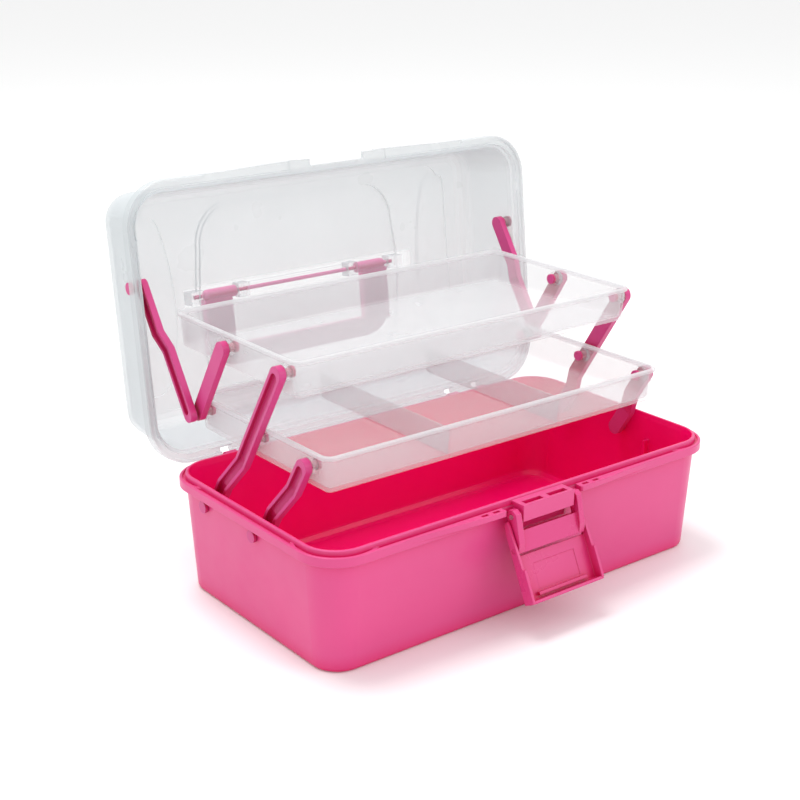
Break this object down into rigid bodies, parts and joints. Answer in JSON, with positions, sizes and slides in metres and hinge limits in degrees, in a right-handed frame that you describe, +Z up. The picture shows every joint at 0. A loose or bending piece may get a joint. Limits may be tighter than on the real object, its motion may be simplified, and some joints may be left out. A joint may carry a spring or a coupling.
{
  "type": "cantilever sewing box with trays",
  "caption": "Latching plastic sewing box with a frosted hinged lid, carrying handle and tiered cantilever trays that lift out on arms as it opens.",
  "frame": {"origin": "centre of the underside of the base, on the surface it stands on", "axes": "+X along the length to the right, +Z up, latch side towards -Y"},
  "size_m": [0.3284, 0.2956, 0.2582],
  "materials": {
    "pink_plastic": "semi-gloss moulded polypropylene",
    "frosted_plastic": "frosted translucent moulded polypropylene",
    "pin_steel": "drawn wire"
  },
  "bodies": {
    "base": {"base_tub": "pink_plastic", "latch_pin": "pin_steel"},
    "lid": {"lid_shell": "frosted_plastic"},
    "handle": {"handle": "pink_plastic"},
    "left_long_arm": {"left_long_arm": "pink_plastic"},
    "right_long_arm": {"right_long_arm": "pink_plastic"},
    "left_front_arm": {"left_front_arm": "pink_plastic"},
    "right_front_arm": {"right_front_arm": "pink_plastic"},
    "lower_tray": {"lower_tray": "frosted_plastic"},
    "upper_tray": {"upper_tray": "frosted_plastic"},
    "left_rear_link": {"left_rear_link": "pink_plastic"},
    "right_rear_link": {"right_rear_link": "pink_plastic"},
    "left_lid_link": {"left_lid_link": "pink_plastic"},
    "right_lid_link": {"right_lid_link": "pink_plastic"},
    "latch_link": {"latch_link": "pink_plastic"},
    "latch_lever": {"latch_lever": "pink_plastic"}
  },
  "joints": [
    {"name": "lid_hinge", "type": "hinge", "parent": "base", "child": "lid", "pos_m": [0, 0.094, 0.0727], "axis": [1, 0, 0], "range_deg": [0, 96.3]},
    {"name": "handle_pivot", "type": "hinge", "parent": "lid", "child": "handle", "pos_m": [0, 0.17352, 0.1605], "axis": [1, 0, 0], "range_deg": [0, 176]},
    {"name": "left_long_arm_pivot", "type": "hinge", "parent": "base", "child": "left_long_arm", "pos_m": [0, 0.0464, 0.066], "axis": [1, 0, 0], "range_deg": [0, 31.02]},
    {"name": "left_front_arm_pivot", "type": "hinge", "parent": "base", "child": "left_front_arm", "pos_m": [0, -0.0091, 0.066], "axis": [1, 0, 0], "range_deg": [0, 31.02]},
    {"name": "right_long_arm_pivot", "type": "hinge", "parent": "base", "child": "right_long_arm", "pos_m": [0, 0.0464, 0.066], "axis": [1, 0, 0], "range_deg": [0, 31.02]},
    {"name": "right_front_arm_pivot", "type": "hinge", "parent": "base", "child": "right_front_arm", "pos_m": [0, -0.0091, 0.066], "axis": [1, 0, 0], "range_deg": [0, 31.02]},
    {"name": "lower_tray_pivot", "type": "hinge", "parent": "left_long_arm", "child": "lower_tray", "pos_m": [0, 0.01535, 0.1157], "axis": [1, 0, 0], "range_deg": [-31.02, 0]},
    {"name": "upper_tray_pivot", "type": "hinge", "parent": "left_long_arm", "child": "upper_tray", "pos_m": [0, -0.01571, 0.16539], "axis": [1, 0, 0], "range_deg": [-31.02, 0]},
    {"name": "left_rear_link_pivot", "type": "hinge", "parent": "lower_tray", "child": "left_rear_link", "pos_m": [0, 0.07675, 0.1157], "axis": [1, 0, 0], "range_deg": [0, 31.02]},
    {"name": "left_lid_link_pivot", "type": "hinge", "parent": "lid", "child": "left_lid_link", "pos_m": [0, 0.1247, 0.1895], "axis": [1, 0, 0], "range_deg": [0, 27.32]},
    {"name": "right_rear_link_pivot", "type": "hinge", "parent": "lower_tray", "child": "right_rear_link", "pos_m": [0, 0.07675, 0.1157], "axis": [1, 0, 0], "range_deg": [0, 31.02]},
    {"name": "right_lid_link_pivot", "type": "hinge", "parent": "lid", "child": "right_lid_link", "pos_m": [0, 0.1247, 0.1895], "axis": [1, 0, 0], "range_deg": [0, 27.32]},
    {"name": "latch_link_swing", "type": "hinge", "parent": "base", "child": "latch_link", "pos_m": [0, -0.0928, 0.0719], "axis": [1, 0, 0], "range_deg": [-52, 0]},
    {"name": "latch_lever_flip", "type": "hinge", "parent": "latch_link", "child": "latch_lever", "pos_m": [0, -0.0983, 0.052], "axis": [1, 0, 0], "range_deg": [-127.42, 0]}
  ],
  "couplings": [
    {"joint": "left_long_arm_pivot", "follows": "lid_hinge", "ratio": 0.32191},
    {"joint": "left_front_arm_pivot", "follows": "lid_hinge", "ratio": 0.32191},
    {"joint": "left_rear_link_pivot", "follows": "lid_hinge", "ratio": 0.32191},
    {"joint": "left_lid_link_pivot", "follows": "lid_hinge", "ratio": 0.2835},
    {"joint": "right_long_arm_pivot", "follows": "lid_hinge", "ratio": 0.32191},
    {"joint": "right_front_arm_pivot", "follows": "lid_hinge", "ratio": 0.32191},
    {"joint": "right_rear_link_pivot", "follows": "lid_hinge", "ratio": 0.32191},
    {"joint": "right_lid_link_pivot", "follows": "lid_hinge", "ratio": 0.2835},
    {"joint": "lower_tray_pivot", "follows": "lid_hinge", "ratio": -0.32191},
    {"joint": "upper_tray_pivot", "follows": "lid_hinge", "ratio": -0.32191},
    {"joint": "latch_lever_flip", "follows": "latch_link_swing", "ratio": 2.45}
  ]
}
